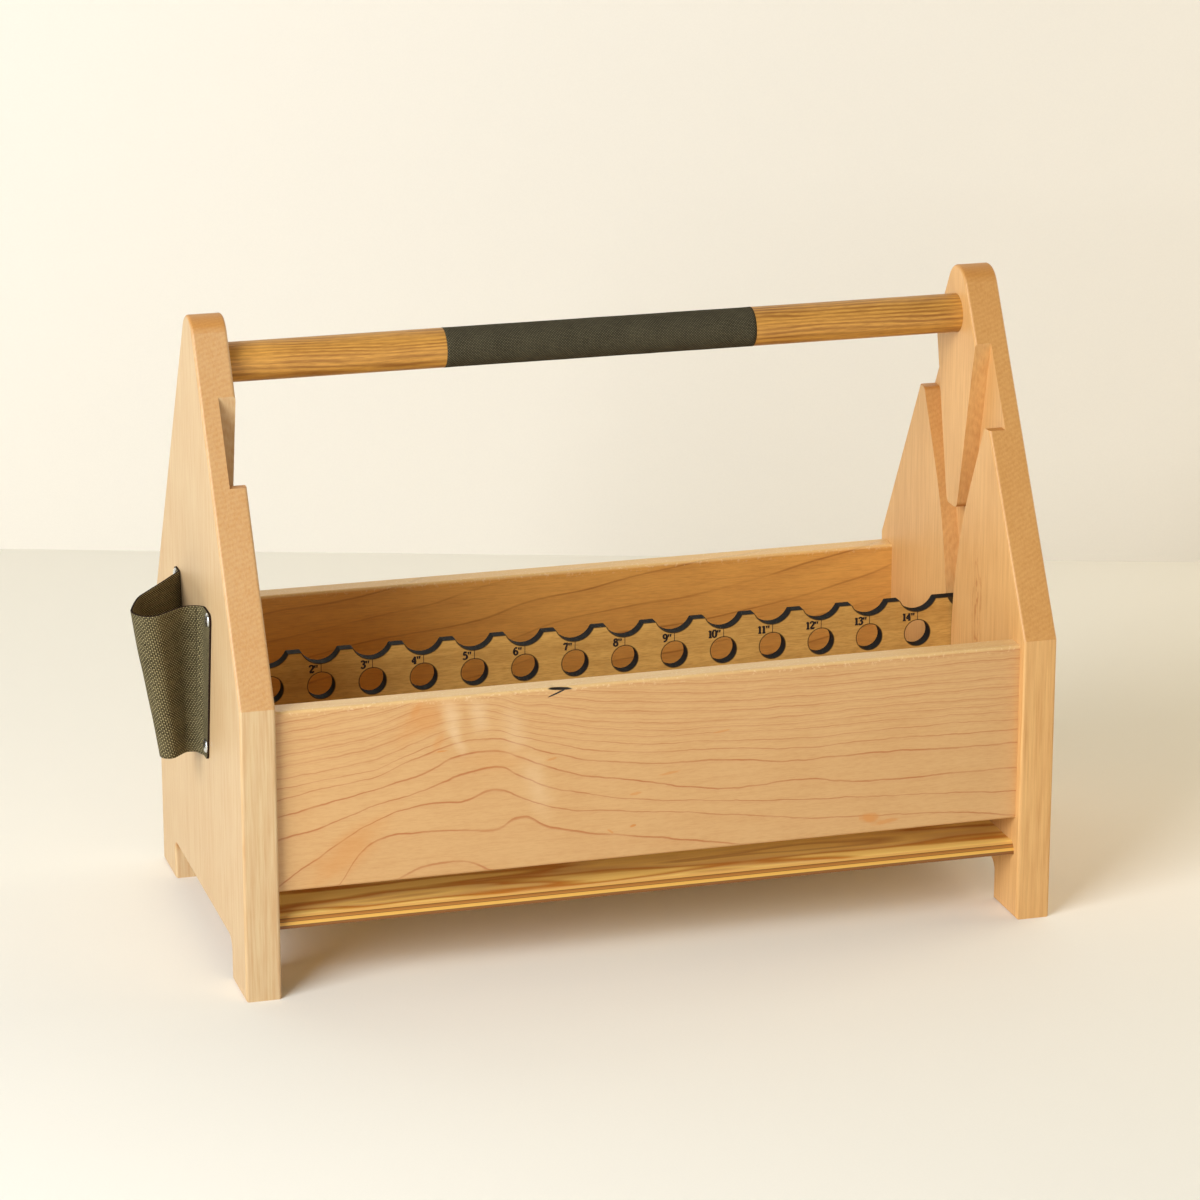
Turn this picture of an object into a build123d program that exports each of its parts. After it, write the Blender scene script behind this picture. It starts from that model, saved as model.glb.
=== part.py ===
from build123d import *
import os
from math import cos, radians, sin, tan

# A garden tool caddy: two house-shaped ends joined by a front board, a back board and a bottom panel, with
# a round handle between the arched tops. A scalloped planting ruler stands on edge down the middle, its
# ends in channels milled into the end panels, and lifts out. A tapering canvas pocket is screwed to the left
# end. X runs along the handle, Y from the front to the back, Z up, and the origin is on the floor under the
# middle of the whole object. All sizes are in millimetres and degrees.

# Overall sizes
caddy_length = 400.0
caddy_depth = 203.0
caddy_height = 305.0

# End panels
end_thickness = 17.0
roof_angle = 30.0
arch_radius = 13.0
edge_round = 1.5
leg_width = 31.5
leg_arch_height = 20.0
leg_arch_corner = 6.0
housing_depth = 5.0
glue_gap = 0.05

# Front and back boards
board_thickness = 12.0
board_height = 88.0
board_bottom = 51.0
board_setback = 5.0
board_round = 1.5

# Plywood bottom
ply_thickness = 5.8
ply_bottom = 32.3
ply_setback = 5.8
ply_edge_round = 4.5

# Handle and its canvas grip
handle_diameter = 19.0
handle_height = 281.2
socket_depth = 9.0
grip_length = 154.0
canvas_thickness = 1.0

# Planting ruler
ruler_end_clearance = 0.7
ruler_height = 98.2
ruler_thickness = 6.2
hole_count = 14
hole_pitch = 25.4
hole_diameter = 13.2
hole_drop = 17.3
scallop_radius = 10.1
scallop_depth = 6.1
scallop_corner_round = 0.8

# Channel in the inner face of each end, and the tongue that splits it into two branches
channel_depth = 8.2
channel_clearance = 0.5
flare_start_height = 112.0
flare_radius = 190.0
flare_angle = 27.0
fang_tip_height = 233.3
fang_tip_round = 3.0
tongue_tip_height = 183.2
tongue_tip_half_width = 6.9
tongue_tip_round = 4.0
tongue_angle = 12.8

# Tool pocket, as its canvas's inner side in plan, taken from the front fold round the loop to the back fold.
# A side's angle runs from straight out of the panel towards the back. The angles and the bends are the same
# at the mouth and at the foot, so each side of the pocket is flat.
pocket_top = 171.0
pocket_height = 76.2
knee_side_angle = 56.8
front_side_angle = -39.9
middle_side_angle = 81.5
back_side_angle = 111.0
tail_side_angle = 126.2
knee_radius = 5.0
front_turn_radius = 4.0
back_turn_radius = 6.0
back_bend_radius = 24.0
mouth_front_fold = -28.2
mouth_knee_side = 10.3
mouth_front_side = 32.8
mouth_middle_side = 19.6
mouth_back_side = 18.5
foot_front_fold = -18.2
foot_knee_side = 10.0
foot_front_side = 16.7
foot_middle_side = 8.9
foot_back_side = 16.4
pocket_fold_radius = 2.5
mouth_front_flap = 13.5
foot_front_flap = 9.3
back_flap_width = 11.0
mouth_flap_round = 3.5
foot_flap_round = 3.0

# Pan head screws that hold the pocket
screw_head_diameter = 7.0
screw_head_height = 1.4
screw_rim_height = 0.6
screw_crown_radius = 2.2
screw_shank_diameter = 3.0
screw_length = 13.0
screw_edge_inset = 3.7
mouth_screw_drop = 3.6
foot_screw_rise = 6.8
screw_clearance = 0.05

half_depth = caddy_depth / 2
inner_length = caddy_length - 2 * end_thickness
apex_height = caddy_height + arch_radius * (1 / sin(radians(roof_angle)) - 1)
shoulder_height = apex_height - half_depth / tan(radians(roof_angle))
board_middle_y = half_depth - board_setback - board_thickness / 2
board_middle_z = board_bottom + board_height / 2
board_length = inner_length + 2 * (housing_depth - glue_gap)
ply_top = ply_bottom + ply_thickness
ply_depth = caddy_depth - 2 * ply_setback
ruler_length = inner_length + 2 * (channel_depth - ruler_end_clearance)
ruler_bottom = ply_top
hole_height = ruler_height - hole_drop
channel_half_width = ruler_thickness / 2 + channel_clearance


def lean_in(length, angle):
    """The sideways run of a line that rises by length at an angle from the vertical."""
    return length * tan(radians(angle))


def loop_corners(front_fold, side_lengths):
    """The loop's corners, as out and y, from the front fold to where its last side meets the panel again."""
    side_angles = [knee_side_angle, front_side_angle, middle_side_angle, back_side_angle]
    corners = [(0, front_fold)]
    for angle, length in zip(side_angles, side_lengths):
        out, y = corners[-1]
        corners.append((out + length * cos(radians(angle)), y + length * sin(radians(angle))))
    out, y = corners[-1]
    corners.append((0, y - out * tan(radians(tail_side_angle))))
    return corners


def mouth_corners():
    """The loop's corners at the pocket's mouth, where it is widest."""
    return loop_corners(
        mouth_front_fold, [mouth_knee_side, mouth_front_side, mouth_middle_side, mouth_back_side]
    )


def foot_corners():
    """The loop's corners at the pocket's foot, where it is narrowest."""
    return loop_corners(foot_front_fold, [foot_knee_side, foot_front_side, foot_middle_side, foot_back_side])


def canvas_section(plane, front_flap, corners):
    """One horizontal section through the canvas, from the front flap round the loop to the back flap."""
    front_edge = (0, corners[0][1] - front_flap)
    back_edge = (0, corners[-1][1] + back_flap_width)
    inner_side = [(-out, y) for out, y in [front_edge, *corners, back_edge]]
    bends = [
        pocket_fold_radius,
        knee_radius,
        front_turn_radius,
        back_turn_radius,
        back_bend_radius,
        pocket_fold_radius,
    ]
    with BuildSketch(plane) as section:
        with BuildLine():
            FilletPolyline(*inner_side, radius=bends)
            offset(amount=canvas_thickness, side=Side.LEFT)
        make_face()
    return section.sketch


def mouth_section(plane):
    """The canvas's section at the pocket's mouth."""
    return canvas_section(plane, mouth_front_flap, mouth_corners())


def foot_section(plane):
    """The canvas's section at the pocket's foot."""
    return canvas_section(plane, foot_front_flap, foot_corners())


# The pocket makes the object longer on one side, so the caddy's middle lies half its reach off the origin
pocket_reach = -mouth_section(Plane.XY).bounding_box().min.X
centre_x = pocket_reach / 2
outer_face_x = centre_x - caddy_length / 2


def end_plane(side):
    """The inner face of an end panel, with its normal pointing outwards."""
    return Plane(origin=(centre_x + side * inner_length / 2, 0, 0), x_dir=(0, side, 0), z_dir=(side, 0, 0))


def lengthwise_plane(length):
    """A plane across the caddy, from which a piece of this length is extruded along it."""
    return Plane(origin=(centre_x - length / 2, 0, 0), x_dir=(0, 1, 0), z_dir=(1, 0, 0))


def screw_spots():
    """The four screws as y and z: one near the top and one near the foot of each flap's free edge."""
    front_at_mouth = mouth_front_fold - mouth_front_flap
    front_at_foot = foot_front_fold - foot_front_flap
    back_at_mouth = mouth_corners()[-1][1] + back_flap_width
    back_at_foot = foot_corners()[-1][1] + back_flap_width
    spots = []
    for height in (pocket_top - mouth_screw_drop, pocket_top - pocket_height + foot_screw_rise):
        fall = (pocket_top - height) / pocket_height
        front_edge = front_at_mouth + fall * (front_at_foot - front_at_mouth)
        back_edge = back_at_mouth + fall * (back_at_foot - back_at_mouth)
        spots.append((front_edge + screw_edge_inset, height))
        spots.append((back_edge - screw_edge_inset, height))
    return spots


def channel_outline():
    """The channel: a slot that flares upwards into two branches, one each side of the tongue."""
    tongue_run = lean_in(handle_height - tongue_tip_height, tongue_angle)
    with BuildSketch() as outline:
        with BuildLine():
            flare = JernArc((channel_half_width, flare_start_height), (0, 1), flare_radius, -flare_angle)
            rise = fang_tip_height - (flare @ 1).Y
            fang_tip = ((flare @ 1).X + lean_in(rise, flare_angle), fang_tip_height)
            Polyline(flare @ 1, fang_tip, (half_depth, fang_tip_height), (half_depth, handle_height))
            Polyline(
                (half_depth, handle_height),
                (tongue_tip_half_width + tongue_run, handle_height),
                (tongue_tip_half_width, tongue_tip_height),
                (0, tongue_tip_height),
                (0, ply_bottom),
                (channel_half_width, ply_bottom),
                (channel_half_width, flare_start_height),
            )
        make_face()
        fillet(vertices().sort_by_distance(fang_tip)[0], fang_tip_round)
        fillet(vertices().sort_by_distance((tongue_tip_half_width, tongue_tip_height))[0], tongue_tip_round)
        mirror(about=Plane.YZ)
    return outline.sketch


def end_panel(side, pilot_spots):
    """An end panel: its outline, rounded edges, channel, housings, handle socket and pilot holes."""
    inner_face = end_plane(side)
    outer_face = inner_face.offset(end_thickness)
    channel = channel_outline()
    with BuildPart() as panel:
        with BuildSketch(inner_face):
            with BuildLine():
                Polyline(
                    (-half_depth, 0),
                    (half_depth, 0),
                    (half_depth, shoulder_height),
                    (0, apex_height),
                    (-half_depth, shoulder_height),
                    close=True,
                )
            make_face()
            fillet(vertices().sort_by(Axis.Y)[-1], arch_radius)
            Rectangle(caddy_depth - 2 * leg_width, 2 * leg_arch_height, mode=Mode.SUBTRACT)
            fillet(vertices().sort_by_distance((0, leg_arch_height))[0:2], leg_arch_corner)
        extrude(amount=end_thickness)
        fillet(edges().filter_by(Axis.X, reverse=True), edge_round)
        with BuildSketch(inner_face):
            add(channel)
        extrude(amount=channel_depth, mode=Mode.SUBTRACT)
        with BuildSketch(inner_face):
            with Locations((-board_middle_y, board_middle_z), (board_middle_y, board_middle_z)):
                RectangleRounded(
                    board_thickness + 2 * glue_gap, board_height + 2 * glue_gap, board_round + glue_gap
                )
            with Locations((0, ply_bottom + ply_thickness / 2)):
                Rectangle(ply_depth + 2 * glue_gap, ply_thickness + 2 * glue_gap)
            fillet(
                vertices().filter_by_position(Axis.Y, ply_top, ply_top + 2 * glue_gap), ply_edge_round
            )
        extrude(amount=housing_depth, mode=Mode.SUBTRACT)
        with BuildSketch(inner_face):
            with Locations((0, handle_height)):
                Circle(handle_diameter / 2 + glue_gap)
        extrude(amount=socket_depth, mode=Mode.SUBTRACT)
        if pilot_spots:
            with BuildSketch(outer_face):
                with Locations(*[(side * y, z) for y, z in pilot_spots]):
                    Circle(screw_shank_diameter / 2 + screw_clearance)
            extrude(amount=-(screw_length - canvas_thickness + screw_clearance), mode=Mode.SUBTRACT)
    return panel


def board(side):
    """The front board, side -1, or the back board, side 1, with eased arrises."""
    with BuildPart() as plank:
        with BuildSketch(lengthwise_plane(board_length)):
            with Locations((side * board_middle_y, board_middle_z)):
                RectangleRounded(board_thickness, board_height, board_round)
        extrude(amount=board_length)
    return plank


left_end = end_panel(-1, screw_spots())
left_end.part.label = "left_end_panel"

right_end = end_panel(1, [])
right_end.part.label = "right_end_panel"

front_board = board(-1)
front_board.part.label = "front_board"

back_board = board(1)
back_board.part.label = "back_board"

with BuildPart() as bottom_panel:
    with BuildSketch(lengthwise_plane(board_length)):
        with Locations((0, ply_bottom + ply_thickness / 2)):
            Rectangle(ply_depth, ply_thickness)
        fillet(vertices().group_by(Axis.Y)[-1], ply_edge_round)
    extrude(amount=board_length)
bottom_panel.part.label = "bottom_panel"

handle_length = inner_length + 2 * (socket_depth - glue_gap)
with BuildPart() as handle_dowel:
    with BuildSketch(lengthwise_plane(handle_length)):
        with Locations((0, handle_height)):
            Circle(handle_diameter / 2)
    extrude(amount=handle_length)
handle_dowel.part.label = "handle_dowel"

grip_inner_radius = handle_diameter / 2 + glue_gap
with BuildPart() as handle_grip:
    with BuildSketch(lengthwise_plane(grip_length)):
        with Locations((0, handle_height)):
            Circle(grip_inner_radius + canvas_thickness)
            Circle(grip_inner_radius, mode=Mode.SUBTRACT)
    extrude(amount=grip_length)
handle_grip.part.label = "handle_grip"

# The ruler stands on the bottom panel, its front face ruler_thickness / 2 in front of the caddy's middle
ruler_back = Plane(origin=(centre_x, ruler_thickness / 2, ruler_bottom), x_dir=(1, 0, 0), z_dir=(0, -1, 0))
with BuildPart() as planting_ruler:
    with BuildSketch(ruler_back):
        Rectangle(ruler_length, ruler_height, align=(Align.CENTER, Align.MIN))
        with Locations((0, ruler_height - scallop_depth + scallop_radius)):
            with GridLocations(hole_pitch, 0, hole_count, 1):
                Circle(scallop_radius, mode=Mode.SUBTRACT)
        fillet(vertices().group_by(Axis.Y)[-1].sort_by(Axis.X)[1:-1], scallop_corner_round)
        with Locations((0, hole_height)):
            with GridLocations(hole_pitch, 0, hole_count, 1):
                Circle(hole_diameter / 2, mode=Mode.SUBTRACT)
    extrude(amount=ruler_thickness)
planting_ruler.part.label = "planting_ruler"

# The pocket is ruled between its mouth and its smaller lower edge, and its flaps lie on the left end
pocket_mouth = Plane((outer_face_x, 0, pocket_top))
pocket_foot = pocket_mouth.offset(-pocket_height)
with BuildPart() as tool_pocket:
    add(foot_section(pocket_foot))
    add(mouth_section(pocket_mouth))
    loft(ruled=True)
    fillet(edges().filter_by(Axis.X).group_by(Axis.Z)[-1], mouth_flap_round)
    fillet(edges().filter_by(Axis.X).group_by(Axis.Z)[0], foot_flap_round)
    with BuildSketch(Plane(origin=(outer_face_x, 0, 0), x_dir=(0, -1, 0), z_dir=(-1, 0, 0))):
        with Locations(*[(-y, z) for y, z in screw_spots()]):
            Circle(screw_shank_diameter / 2 + screw_clearance)
    extrude(amount=canvas_thickness, mode=Mode.SUBTRACT)
tool_pocket.part.label = "tool_pocket"

# One screw, drawn about the X axis with the underside of its head at the origin and its shank towards +X
head_radius = screw_head_diameter / 2
shank_radius = screw_shank_diameter / 2
with BuildPart() as screw:
    with BuildSketch(Plane.XY):
        with BuildLine():
            Polyline(
                (-screw_head_height, 0),
                (screw_length, 0),
                (screw_length, shank_radius),
                (0, shank_radius),
                (0, head_radius),
                (-screw_rim_height, head_radius),
                (-screw_head_height, screw_crown_radius),
                close=True,
            )
        make_face()
    revolve(axis=Axis.X)

with BuildPart() as pocket_screws:
    with Locations(*[(outer_face_x - canvas_thickness, y, z) for y, z in screw_spots()]):
        add(screw.part)
pocket_screws.part.label = "pocket_screws"

os.makedirs("parts", exist_ok=True)
pieces = [
    left_end,
    right_end,
    front_board,
    back_board,
    bottom_panel,
    handle_dowel,
    handle_grip,
    planting_ruler,
    tool_pocket,
    pocket_screws,
]
for piece in pieces:
    export_step(piece.part, f"parts/{piece.part.label}.step")
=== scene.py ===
from functools import partial
from math import cos, hypot, pi, radians, sin, tan

import bmesh
import bpy
from mathutils import Matrix, Vector, noise


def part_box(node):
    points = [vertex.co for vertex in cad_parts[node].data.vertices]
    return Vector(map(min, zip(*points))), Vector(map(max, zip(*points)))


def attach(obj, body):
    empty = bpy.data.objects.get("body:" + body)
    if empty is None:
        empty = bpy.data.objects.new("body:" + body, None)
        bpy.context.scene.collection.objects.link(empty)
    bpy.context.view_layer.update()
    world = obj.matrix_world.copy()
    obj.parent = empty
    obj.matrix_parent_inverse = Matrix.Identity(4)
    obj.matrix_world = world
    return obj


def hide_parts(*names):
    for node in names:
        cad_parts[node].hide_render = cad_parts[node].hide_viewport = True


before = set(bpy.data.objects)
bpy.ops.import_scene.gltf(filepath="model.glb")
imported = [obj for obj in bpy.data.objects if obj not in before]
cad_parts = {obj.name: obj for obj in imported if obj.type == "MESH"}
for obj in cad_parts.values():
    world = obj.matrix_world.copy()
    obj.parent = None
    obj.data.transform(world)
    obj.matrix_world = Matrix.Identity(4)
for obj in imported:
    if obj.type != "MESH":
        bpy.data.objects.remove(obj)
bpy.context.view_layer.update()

bl_info = {
    "name": "Garden Tool Caddy",
    "version": (1, 0, 0),
    "blender": (4, 5, 0),
    "location": "3D View > Sidebar > Caddy",
    "description": "Finishes a wooden garden tool caddy with its planting ruler, canvas pocket "
                   "and canvas grip",
    "category": "Object",
}

MM = 0.001

left_low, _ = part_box("left_end_panel")
_, right_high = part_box("right_end_panel")
ruler_low, ruler_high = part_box("planting_ruler")
dowel_low, dowel_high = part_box("handle_dowel")
grip_low, grip_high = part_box("handle_grip")
middle_x = (left_low.x + right_high.x) / 2
handle_z = (dowel_low.z + dowel_high.z) / 2
dowel_radius = (dowel_high.z - dowel_low.z) / 2


def linear(hex_colour):
    """A linear colour with alpha from an sRGB hex value."""
    channels = [int(hex_colour[i:i + 2], 16) / 255 for i in (0, 2, 4)]
    return (*[c / 12.92 if c <= 0.04045 else ((c + 0.055) / 1.055) ** 2.4 for c in channels], 1.0)


def add_node(tree, kind, settings=None, inputs=None):
    """Adds a shader node with its settings and its inputs' values or links, and returns an output of it.

    Settings given as one word are the node's operation. They may name the output wanted, which else is the
    first in use, and give a ramp's stops as pairs of position and colour, and a curve's points as pairs.
    Inputs go by name or number, or as a tuple in their order.
    """
    made = tree.nodes.new("ShaderNode" + kind)
    settings = {"operation": settings} if isinstance(settings, str) else dict(settings or {})
    wanted = settings.pop("output", None)
    stops = settings.pop("stops", None)
    points = settings.pop("points", None)
    for name, value in settings.items():
        setattr(made, name, value)
    if stops:
        ramp = made.color_ramp
        while len(ramp.elements) < len(stops):
            ramp.elements.new(1.0)
        for element, (position, colour) in zip(ramp.elements, stops):
            element.position = position
            element.color = colour
    if points:
        curve = made.mapping.curves[0]
        while len(curve.points) < len(points):
            curve.points.new(0.5, 0.5)
        for point, place in zip(curve.points, points):
            point.location = place
        made.mapping.update()
    if isinstance(inputs, tuple):
        inputs = dict(enumerate(inputs))
    for name, value in (inputs or {}).items():
        if isinstance(name, int):
            socket = made.inputs[name]
        else:
            socket = next(s for s in made.inputs if s.enabled and s.name == name)
        if isinstance(value, bpy.types.NodeSocket):
            tree.links.new(value, socket)
        else:
            socket.default_value = value
    if wanted:
        return made.outputs[wanted]
    return next((s for s in made.outputs if s.enabled), None)


def start_material(name):
    """An empty material of that name, and add_node for its tree."""
    material = bpy.data.materials.new(name)
    material.use_nodes = True
    material.node_tree.nodes.clear()
    return material, partial(add_node, material.node_tree)


def caddy_millimetres(add):
    """The place on the object in millimetres, counted from the caddy's middle on the floor."""
    place = add("TexCoord", {"output": "Object"})
    return add("VectorMath", "MULTIPLY_ADD", (place, (1000, 1000, 1000), (-1000 * middle_x, 0, 0)))


def stretched_noise(add, place, sizes, detail=2.0, roughness=0.5):
    """Noise from 0 to 1 whose blots are about as long along x, y and z as sizes says, in millimetres."""
    scaled = add("VectorMath", "MULTIPLY", (place, [1 / size for size in sizes]))
    return add("TexNoise", {}, {"Vector": scaled, "Scale": 1.0, "Detail": detail, "Roughness": roughness})


def close_material(add, colour, relief, relief_depth, surface):
    """Ends a material: its relief in metres, its shader with the surface values given, and its output."""
    bump = add("Bump", {}, {"Strength": 1.0, "Distance": relief_depth, "Height": relief})
    shader = add("BsdfPrincipled", {}, {"Base Color": colour, "Normal": bump, **surface})
    add("OutputMaterial", {}, {"Surface": shader})


def set_material(thing, *materials):
    """Gives an object these materials in its slots."""
    thing.data.materials.clear()
    for material in materials:
        thing.data.materials.append(material)


class CaddyWoodSettings(bpy.types.PropertyGroup):
    """The colours of the caddy's wood."""

    left_pale: bpy.props.FloatVectorProperty(
        name="Left end", description="Pale maple of the left end panel", subtype="COLOR", size=4,
        default=linear("D3B88C"), min=0, max=1)
    right_pale: bpy.props.FloatVectorProperty(
        name="Right end", description="Tan maple of the right end panel", subtype="COLOR", size=4,
        default=linear("E1B272"), min=0, max=1)
    front_pale: bpy.props.FloatVectorProperty(
        name="Front board", description="Tan maple of the front board", subtype="COLOR", size=4,
        default=linear("D1A56D"), min=0, max=1)
    back_pale: bpy.props.FloatVectorProperty(
        name="Back board", description="Orange tan maple of the back board", subtype="COLOR", size=4,
        default=linear("E3A955"), min=0, max=1)
    maple_fibre: bpy.props.FloatVectorProperty(
        name="Fibres", description="Golden brown fibres and streaks in the maple", subtype="COLOR", size=4,
        default=linear("B57B3A"), min=0, max=1)
    maple_line: bpy.props.FloatVectorProperty(
        name="Growth lines", description="Reddish late wood lines in the maple", subtype="COLOR", size=4,
        default=linear("AC5F22"), min=0, max=1)
    maple_end: bpy.props.FloatVectorProperty(
        name="End grain", description="Darker, oranger wood where the grain is cut across", subtype="COLOR",
        size=4, default=linear("C98D43"), min=0, max=1)
    dowel_pale: bpy.props.FloatVectorProperty(
        name="Dowel", description="Honey brown early wood of the handle", subtype="COLOR", size=4,
        default=linear("D69D47"), min=0, max=1)
    dowel_line: bpy.props.FloatVectorProperty(
        name="Dowel pores", description="Open pores and late wood of the handle", subtype="COLOR", size=4,
        default=linear("7C4615"), min=0, max=1)
    veneer_pale: bpy.props.FloatVectorProperty(
        name="Veneer", description="Light face veneer of the bottom panel", subtype="COLOR", size=4,
        default=linear("F6D074"), min=0, max=1)
    veneer_flame: bpy.props.FloatVectorProperty(
        name="Veneer flame", description="Orange figure in the face veneer", subtype="COLOR", size=4,
        default=linear("C67C22"), min=0, max=1)
    ruler_face: bpy.props.FloatVectorProperty(
        name="Ruler face", description="Yellow tan veneer of the planting ruler", subtype="COLOR", size=4,
        default=linear("DBAD5E"), min=0, max=1)
    burnt_edge: bpy.props.FloatVectorProperty(
        name="Burnt edge", description="Charred laser-cut edges of the planting ruler", subtype="COLOR",
        size=4, default=linear("0D0D0E"), min=0, max=1)


class CaddyClothSettings(bpy.types.PropertyGroup):
    """The canvas of the pocket and the grip."""

    thickness: bpy.props.FloatProperty(
        name="Thickness", description="Thickness of the canvas", default=1.0 * MM, unit="LENGTH", min=0.0003)
    # Real threads are too fine to show in the render, so the pitch is as coarse as it needs to be to show
    thread_pitch: bpy.props.FloatProperty(
        name="Thread pitch", description="Distance from one thread of the pocket to the next",
        default=0.92 * MM, unit="LENGTH", min=0.0002)
    # The crown colours are the threads' lit tops, and the gap colours are painted shade between the threads
    pocket_crown: bpy.props.FloatVectorProperty(
        name="Pocket threads", description="Tops of the pocket's threads", subtype="COLOR", size=4,
        default=linear("9C8F68"), min=0, max=1)
    pocket_gap: bpy.props.FloatVectorProperty(
        name="Pocket gaps", description="Dark gaps between the pocket's threads", subtype="COLOR", size=4,
        default=linear("1C160A"), min=0, max=1)
    grip_crown: bpy.props.FloatVectorProperty(
        name="Grip threads", description="Tops of the grip's threads", subtype="COLOR", size=4,
        default=linear("6D664F"), min=0, max=1)
    grip_gap: bpy.props.FloatVectorProperty(
        name="Grip gaps", description="Dark gaps between the grip's threads", subtype="COLOR", size=4,
        default=linear("262218"), min=0, max=1)
    # The colour of the cloth's cut edges: dark brown
    cut_edge: bpy.props.FloatVectorProperty(
        name="Cut edge", description="Dark brown cut edge of the cloth", subtype="COLOR", size=4,
        default=linear("2A1C12"), min=0, max=1)


class CaddyRulerSettings(bpy.types.PropertyGroup):
    """The inch marks burnt into the planting ruler."""

    first_hole: bpy.props.FloatProperty(
        name="First hole", description="Middle of the first hole, from the ruler's left end",
        default=25.4 * MM, unit="LENGTH")
    hole_pitch: bpy.props.FloatProperty(
        name="Hole pitch", description="Distance between the holes", default=25.4 * MM, unit="LENGTH")
    hole_count: bpy.props.IntProperty(name="Holes", description="Number of holes", default=14, min=1)
    hole_top: bpy.props.FloatProperty(
        name="Hole top", description="Top of the holes, below the ruler's top edge", default=10.7 * MM,
        unit="LENGTH")
    scallop_depth: bpy.props.FloatProperty(
        name="Scallop depth", description="Depth of the scallops in the top edge", default=6.1 * MM,
        unit="LENGTH")
    hole_radius: bpy.props.FloatProperty(
        name="Hole radius", description="Radius of the holes", default=6.6 * MM, unit="LENGTH")
    scallop_radius: bpy.props.FloatProperty(
        name="Scallop radius", description="Radius of the scallops", default=10.1 * MM, unit="LENGTH")
    figure_height: bpy.props.FloatProperty(
        name="Figure height", description="Height of the figures", default=3.7 * MM, unit="LENGTH")
    burnt_line: bpy.props.FloatVectorProperty(
        name="Burnt figures", description="Brown-black of the burnt figures", subtype="COLOR", size=4,
        default=linear("26160B"), min=0, max=1)


class CaddyStageSettings(bpy.types.PropertyGroup):
    """The floor, the backdrop and the lamps."""

    floor_colour: bpy.props.FloatVectorProperty(
        name="Floor", description="Pale studio floor", subtype="COLOR", size=4, default=linear("F5F2E7"),
        min=0, max=1)
    wall_colour: bpy.props.FloatVectorProperty(
        name="Wall", description="Cream backdrop", subtype="COLOR", size=4, default=linear("EBE6DA"),
        min=0, max=1)
    key_power: bpy.props.FloatProperty(
        name="Key lamp", description="Power of the large soft lamp low at the left", default=57.0, min=0,
        unit="POWER")
    front_power: bpy.props.FloatProperty(
        name="Front lamp", description="Power of the wide lamp in front", default=6.2, min=0, unit="POWER")
    side_power: bpy.props.FloatProperty(
        name="Side lamp", description="Power of the lamp that lightens the shadow at the right", default=6.8,
        min=0, unit="POWER")
    sky_strength: bpy.props.FloatProperty(
        name="Room light", description="Strength of the light from all sides", default=0.19, min=0)


# Sections of the canvas pocket, as how far out of the panel and how far back a bend lies, in millimetres,
# with the radius that the cloth is bent to there. They run from the front flap round the loop to the back
# flap.
MOUTH_BENDS = [
    ((0.0, -41.7), 0.0), ((0.0, -25.7), 5.0), ((8.4, -21.6), 9.0), ((27.6, -37.2), 6.0),
    ((35.3, -28.2), 10.0), ((28.6, -5.9), 50.0), ((0.0, 34.0), 2.5), ((0.0, 45.0), 0.0),
]
FOOT_BENDS = [
    ((0.0, -27.5), 0.0), ((0.0, -18.5), 5.0), ((4.9, -7.6), 4.5), ((18.6, -21.6), 3.4),
    ((20.6, -14.2), 4.0), ((17.0, -1.5), 18.0), ((0.0, 23.1), 2.5), ((0.0, 34.1), 0.0),
]
POCKET_TOP = 171.0
POCKET_FOOT = 94.8
FLAP_CORNER = 3.2

# Faces along a straight run of the pocket's section, round a bend of it, and from its foot to its mouth
RUN_STEPS = 20
BEND_STEPS = 12
POCKET_ROWS = 48

# The cloth's clearance from the wood under it, and the height of a screw's head, in millimetres
CLOTH_GAP = 0.05
HEAD_HEIGHT = 1.4

# The grip's cloth beside the pocket's: how close its threads lie and how thick it is
GRIP_PITCH = 0.72
GRIP_THICKNESS = 0.95

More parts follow.
